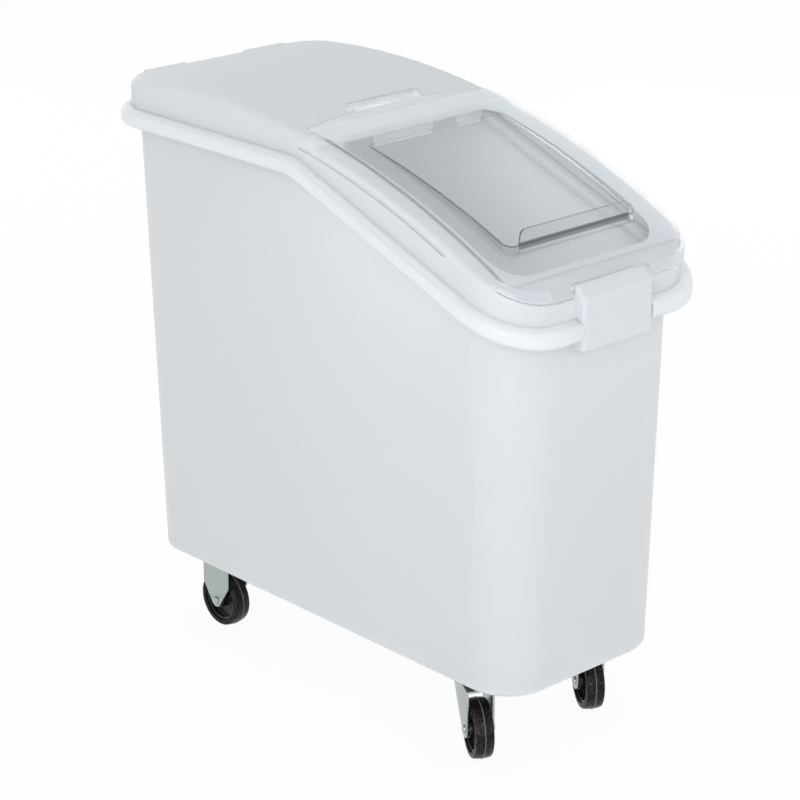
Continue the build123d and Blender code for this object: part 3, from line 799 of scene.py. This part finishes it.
class Smoothing:
    """Shades the carried-over nodes smoothly through modifiers alone."""

    GROUP = "smooth_by_angle"
    CREASE = 28.0
    EDGE_ANGLE = 50.0
    EDGE_RUNS = 2

    @classmethod
    def group(cls) -> bpy.types.NodeTree:
        """Node group that smooths the faces and keeps edges over an angle crisp.

        Returns:
            The group, made once.
        """
        known = bpy.data.node_groups.get(cls.GROUP)
        if known:
            return known
        tree = bpy.data.node_groups.new(cls.GROUP, "GeometryNodeTree")
        tree.interface.new_socket("Geometry", in_out="INPUT", socket_type="NodeSocketGeometry")
        tree.interface.new_socket("Geometry", in_out="OUTPUT", socket_type="NodeSocketGeometry")
        graph = Graph(tree)
        given = graph.node("NodeGroupInput")
        angle = graph.node("GeometryNodeInputMeshEdgeAngle", output="Unsigned Angle")
        crease = math.radians(cls.CREASE)
        flat = graph.node("FunctionNodeCompare", {"operation": "LESS_THAN"}, {0: angle, 1: crease})
        faces = graph.node("GeometryNodeSetShadeSmooth", {"domain": "FACE"},
                           {"Geometry": given, "Shade Smooth": True})
        edges = graph.node("GeometryNodeSetShadeSmooth", {"domain": "EDGE"},
                           {"Geometry": faces, "Shade Smooth": flat})
        graph.node("NodeGroupOutput", None, {0: edges})
        return tree

    @classmethod
    def dress(cls, node: bpy.types.Object, material: bpy.types.Material, edge: float = 0.0) -> None:
        """Gives a carried-over node its material, soft edges and smooth shading.

        Args:
            node: The node's object.
            material: Its new material.
            edge: Width of the softened edges in millimetres, zero for none.
        """
        if not node.material_slots:
            node.data.materials.append(material)
        for slot in node.material_slots:
            slot.link = "OBJECT"
            slot.material = material
        weld = node.modifiers.new("weld", "WELD")
        weld.merge_threshold = WELD
        if edge > 0.0:
            bevel = node.modifiers.new("soft_edges", "BEVEL")
            bevel.width = edge * MM
            bevel.segments = cls.EDGE_RUNS
            bevel.limit_method = "ANGLE"
            bevel.angle_limit = math.radians(cls.EDGE_ANGLE)
            bevel.use_clamp_overlap = True
        smooth = node.modifiers.new("smooth", "NODES")
        smooth.node_group = cls.group()
        LOG.info("node %s dressed in %s", node.name, material.name)


@dataclass
class Shell:
    """The tub and its cover, carried over with soft edges, and the clear door; sizes in millimetres."""

    paints: Paintbox
    tub_edge: float = 0.5
    cover_edge: float = 0.6

    def build(self) -> None:
        """Dresses the three shells."""
        nodes = frame["nodes"]
        Smoothing.dress(nodes["bin_tub"], self.paints.get(Finishes.TUB), self.tub_edge)
        Smoothing.dress(nodes["lid_cover"], self.paints.get(Finishes.COVER), self.cover_edge)
        Smoothing.dress(nodes["sliding_door"], self.paints.get(Finishes.CLEAR))


@dataclass
class Wheel:
    """A wheel: hub with web and rim, and a tyre with a mould line; sizes in millimetres."""

    paints: Paintbox
    body: str
    joint: Mapping[str, Any]
    tyre_radius: float = 38.1
    tyre_inner: float = 29.5
    tyre_half: float = 12.0
    bead_slope: float = 0.9
    bead_lip: float = 0.4
    bead_width: float = 2.0
    bead_step: float = 0.7
    side_hollow: float = 1.1
    wall_inset: float = 0.4
    tyre_shoulder: float = 3.6
    crown: float = 1.4
    crown_middle: float = 0.25
    crown_rounding: float = 8.0
    line_half: float = 0.55
    line_rise: float = 0.4
    line_margin: float = 0.02
    hub_half: float = 13.8
    hub_radius: float = 11.0
    bore: float = 6.56
    rim_half: float = 9.5
    rim_inner: float = 26.0
    web_half: float = 2.5
    web_foot: float = 0.8
    web_lip: float = 0.6
    ring_rise: float = 0.5
    ring_inner: float = 4.0
    ring_width: float = 2.0
    ring_slope: float = 0.4
    segments: int = 96

    def place(self) -> Matrix:
        """Turns the axle's X into its direction at the wheel's centre.

        Returns:
            The place.
        """
        axle = Vector(self.joint["axis"]).normalized()
        side = Vector((0, 0, 1)).cross(axle)
        turn = Matrix((axle, side, Vector((0, 0, 1)))).transposed().to_4x4()
        return Matrix.Translation(Vector(self.joint["pos_m"])) @ turn

    @staticmethod
    def mirrored(side: Sequence[Corner]) -> list[tuple[float, float]]:
        """Closes a half profile with its mirror image and rounds it.

        Args:
            side: The half on the axle's positive side, outwards from the bore or inner edge.

        Returns:
            The points of the whole profile.
        """
        other = [Corner(-corner.along, corner.out, corner.rounding) for corner in reversed(side)]
        return rounded([*side, *other])

    def tyre_profile(self) -> list[tuple[float, float]]:
        """Profile of the tyre, with its mould line and a shallow hollow in each side.

        Returns:
            The points of the profile.
        """
        tread = self.tyre_radius - self.line_rise
        wall = self.tyre_half - self.wall_inset
        bead_top = self.tyre_inner + self.bead_width
        return self.mirrored([
            Corner(self.tyre_half - self.bead_slope, self.tyre_inner, 0.5),
            Corner(self.tyre_half, self.tyre_inner + self.bead_lip, 0.7),
            Corner(self.tyre_half, bead_top, 0.7),
            Corner(self.tyre_half - self.side_hollow, bead_top + self.bead_step, 0.5),
            Corner(wall, tread - self.tyre_shoulder - self.crown, 0.5),
            Corner(wall, tread - self.crown, self.tyre_shoulder),
            Corner(self.tyre_half / 2, tread - self.crown_middle * self.crown, self.crown_rounding),
            Corner(self.line_half, tread, 0.2),
            Corner(self.line_half, self.tyre_radius, 0.2),
        ])

    def hub_profile(self) -> list[tuple[float, float]]:
        """Profile of the hub, its web with a raised ring on each side, and the rim.

        Returns:
            The points of the profile.
        """
        ring_top = self.web_half + self.ring_rise
        ring_start = self.hub_radius + self.ring_inner
        ring_end = ring_start + self.ring_width
        return self.mirrored([
            Corner(self.hub_half, self.bore, 0.3),
            Corner(self.hub_half, self.hub_radius, 1.0),
            Corner(self.web_half, self.hub_radius + self.web_foot, 1.2),
            Corner(self.web_half, ring_start, 0.3),
            Corner(ring_top, ring_start + self.ring_slope, 0.2),
            Corner(ring_top, ring_end - self.ring_slope, 0.2),
            Corner(self.web_half, ring_end, 0.3),
            Corner(self.web_half, self.rim_inner - self.web_lip, 1.4),
            Corner(self.rim_half, self.rim_inner, 0.8),
            Corner(self.rim_half, self.tyre_inner, 0.5),
        ])

    def build(self) -> None:
        """Builds the tyre and the hub in place of their plain nodes."""
        prefix = self.body.removesuffix("_wheel")
        for part, profile, finish, slot in (
            ("tyre", self.tyre_profile(), Finishes.TYRE, "tyre_rubber"),
            ("wheel_hub", self.hub_profile(), Finishes.HUB, "hub_plastic"),
        ):
            work = bmesh.new()
            line_foot = self.tyre_radius - self.line_rise + self.line_margin
            worn = [1.0 if radius > line_foot else 0.0 for _, radius in profile]
            MeshWork.turned(work, profile, self.place(), self.segments, worn)
            piece = MeshWork.finish_object(f"{prefix}_{part}_detailed", work)
            piece.data.materials.append(self.paints.get(finish))
            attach(piece, self.body)
            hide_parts(f"{prefix}_{part}")
            LOG.info("piece %s made", piece.name)


@dataclass
class Axles:
    """Pressed axle ends of the four wheels, low and round with dimpled heads; sizes in millimetres."""

    paints: Paintbox
    leg_face: float = 17.5
    shank: float = 4.0
    head_radius: float = 5.3
    head_height: float = 2.2
    head_slope: float = 0.5
    dimple_radius: float = 1.7
    dimple_floor: float = 1.02
    dimple_depth: float = 1.1
    collar_radius: float = 5.0
    collar_height: float = 2.8
    collar_slope: float = 0.3
    end_inset: float = 0.5
    gap: float = 0.02
    segments: int = 48

    def head_profile(self) -> list[tuple[float, float]]:
        """Half outline of the axle: dimpled head, shank and flat end.

        Returns:
            The points of the outline.
        """
        outer = -self.leg_face - self.head_height
        end = self.leg_face + self.collar_height - self.end_inset
        return rounded([
            Corner(outer + self.dimple_depth, 0.0),
            Corner(outer + self.dimple_depth, self.dimple_floor, 0.2),
            Corner(outer, self.dimple_radius, 0.3),
            Corner(outer, self.head_radius - self.head_slope, 1.2),
            Corner(-self.leg_face, self.head_radius, 0.4),
            Corner(-self.leg_face, self.shank),
            Corner(end, self.shank, 0.4),
            Corner(end, 0.0),
        ])

    def collar_profile(self) -> list[tuple[float, float]]:
        """Outline of the collar that holds the axle's end.

        Returns:
            The points of the outline.
        """
        outer = self.leg_face + self.collar_height
        return rounded([
            Corner(self.leg_face, self.shank + self.gap),
            Corner(outer, self.shank + self.gap, 0.2),
            Corner(outer, self.collar_radius - self.collar_slope, 0.6),
            Corner(self.leg_face, self.collar_radius, 0.2),
        ])

    def make(self, node: str, body: str, places: Sequence[Matrix], collar: bool) -> None:
        """Makes the heads or collars that stand for one node.

        Args:
            node: The node that they replace.
            body: The body that they ride on.
            places: The place of each.
            collar: Whether they are collars.
        """
        work = bmesh.new()
        for place in places:
            profile = self.collar_profile() if collar else self.head_profile()
            MeshWork.turned(work, profile, place, self.segments, closed=collar)
        piece = MeshWork.finish_object(f"{node}_detailed", work)
        piece.data.materials.append(self.paints.get(Finishes.ZINC))
        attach(piece, body)
        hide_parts(node)
        LOG.info("piece %s made", piece.name)

    def build(self, wheels: Sequence[Wheel]) -> None:
        """Builds the axles of all wheels.

        Args:
            wheels: The wheels that turn on them.
        """
        rear = [wheel.place() for wheel in wheels if wheel.body.startswith("rear")]
        self.make("rear_axle_bolts", "bin", rear, False)
        self.make("rear_axle_nuts", "bin", rear, True)
        for wheel in wheels:
            if wheel.body.startswith("front"):
                prefix = wheel.body.removesuffix("_wheel")
                self.make(f"{prefix}_axle_bolt", f"{prefix}_swivel", [wheel.place()], False)
                self.make(f"{prefix}_axle_nut", f"{prefix}_swivel", [wheel.place()], True)


@dataclass
class Casters:
    """Four casters: pressed and small steel parts are carried over, wheels and axle ends are built."""

    paints: Paintbox
    press_edge: float = 0.5
    small_edge: float = 0.25

    def build(self) -> None:
        """Dresses the carried-over caster nodes and builds the wheels and axle ends."""
        nodes = frame["nodes"]
        pressed = ("plate", "fork", "bracket")
        turned = {"kingpins": Finishes.STEEL, "sleeve": Finishes.STEEL, "thrust_ring": Finishes.RING}
        for name in sorted(nodes):
            if name in SHELL_NODES or name.endswith(("_tyre", "_wheel_hub")) or "_axle_" in name:
                continue
            finish = next((f for word, f in turned.items() if word in name), Finishes.ZINC)
            edge = self.press_edge if any(word in name for word in pressed) else self.small_edge
            Smoothing.dress(nodes[name], self.paints.get(finish), edge)
        wheels = [Wheel(self.paints, joint["child"], joint) for joint in frame["joints"]
                  if joint["child"].endswith("_wheel")]
        for wheel in wheels:
            wheel.build()
        Axles(self.paints).build(wheels)


@dataclass(frozen=True)
class Lamp:
    """A soft square lamp that looks at the bin: place and side in metres, power in watts."""

    name: str
    place: tuple[float, float, float]
    side: float
    power: float
    mirrored: bool = True


@dataclass
class Studio:
    """Pale floor, soft light, white surroundings and the camera; places in metres."""

    azimuth: float = -42.8
    elevation: float = 20.5
    distance: float = 3.3849
    target: tuple[float, float, float] = (0.0007, 0.0, 0.3623)
    focal_pixels: float = 2669.0
    sensor: float = 36.0
    ambient: float = 0.872
    zenith_gain: float = -0.12
    floor_half: float = 14.0
    floor_colour: Colour = (0.92, 0.92, 0.92)
    floor_glow: float = 0.93
    lamps: tuple[Lamp, ...] = (
        Lamp("key", (-2.5, -2.3, 1.3), 2.4, 45.0),
        Lamp("fill", (2.6, -1.2, 1.2), 2.0, 6.0),
        Lamp("rear", (0.6, 3.2, 1.4), 2.0, 10.0),
        Lamp("rim", (2.8, 1.2, 0.75), 1.6, 6.0, mirrored=False),
    )

    def build(self) -> None:
        """Sets the whole studio up."""
        self.camera()
        self.world()
        self.floor()
        for lamp in self.lamps:
            self.light(lamp)

    def camera(self) -> None:
        """Makes the camera at the photograph's angle."""
        data = bpy.data.cameras.new("camera")
        data.sensor_width = self.sensor
        data.lens = self.focal_pixels / PHOTO_PIXELS * self.sensor
        made = bpy.data.objects.new("camera", data)
        bpy.context.scene.collection.objects.link(made)
        a, e = math.radians(self.azimuth), math.radians(self.elevation)
        back = Vector((math.sin(a) * math.cos(e), -math.cos(a) * math.cos(e), math.sin(e)))
        made.location = Vector(self.target) + back * self.distance
        made.rotation_mode = "QUATERNION"
        made.rotation_quaternion = (-back).to_track_quat("-Z", "Y")
        bpy.context.scene.camera = made

    def seen_directly(self, graph: Graph) -> Wire:
        """One for camera, glossy and transmitted rays, else zero.

        Args:
            graph: The graph that reads the rays.

        Returns:
            The test.
        """
        rays = [graph.node("ShaderNodeLightPath", output=name)
                for name in ("Is Camera Ray", "Is Glossy Ray", "Is Transmission Ray")]
        return (rays[0] + rays[1] + rays[2]).at_most(1.0)

    def world(self) -> None:
        """White surroundings with a soft even light."""
        world = bpy.data.worlds.new("surroundings")
        world.use_nodes = True
        bpy.context.scene.world = world
        graph = Graph(world.node_tree)
        seen = self.seen_directly(graph)
        where = graph.node("ShaderNodeTexCoord", output="Generated")
        height = graph.node("ShaderNodeSeparateXYZ", None, {0: where}, "Z").at_least(0.0)
        light = self.ambient * (1.0 + self.zenith_gain * height)
        strength = seen + (1.0 - seen) * light
        shown = graph.node("ShaderNodeBackground", None, {"Color": opaque(WHITE), "Strength": strength})
        graph.node("ShaderNodeOutputWorld", None, {"Surface": shown})

    def floor(self) -> None:
        """Pale floor that looks white and keeps a faint shadow."""
        made = bpy.data.materials.new("floor_white")
        made.use_nodes = True
        graph = Graph(made.node_tree)
        plain = graph.node("ShaderNodeBsdfDiffuse", None, {"Color": opaque(self.floor_colour)})
        bright = graph.node("ShaderNodeEmission", None, {"Color": opaque(WHITE), "Strength": 1.0})
        share = self.seen_directly(graph) * self.floor_glow
        mixed = graph.node("ShaderNodeMixShader", None, {0: share, 1: plain, 2: bright})
        graph.node("ShaderNodeOutputMaterial", None, {"Surface": mixed})
        work = bmesh.new()
        half = self.floor_half
        corners = ((-half, -half, 0.0), (half, -half, 0.0), (half, half, 0.0), (-half, half, 0.0))
        work.faces.new([work.verts.new(corner) for corner in corners])
        sheet = MeshWork.finish_object("floor", work)
        sheet.data.materials.append(made)

    def light(self, lamp: Lamp) -> None:
        """Adds one lamp.

        Args:
            lamp: The lamp.
        """
        data = bpy.data.lights.new(lamp.name, "AREA")
        data.shape = "SQUARE"
        data.size = lamp.side
        data.energy = lamp.power
        made = bpy.data.objects.new(lamp.name, data)
        made.visible_glossy = lamp.mirrored
        made.location = lamp.place
        made.rotation_mode = "QUATERNION"
        made.rotation_quaternion = (Vector(self.target) - Vector(lamp.place)).to_track_quat("-Z", "Y")
        bpy.context.scene.collection.objects.link(made)


def main() -> None:
    """Builds the studio and every sub-assembly."""
    logging.basicConfig(level=logging.INFO, format="%(message)s")
    bpy.context.scene.view_settings.view_transform = "Standard"
    Studio().build()
    paints = Paintbox()
    Shell(paints).build()
    Casters(paints).build()


if __name__ == "__main__":
    main()
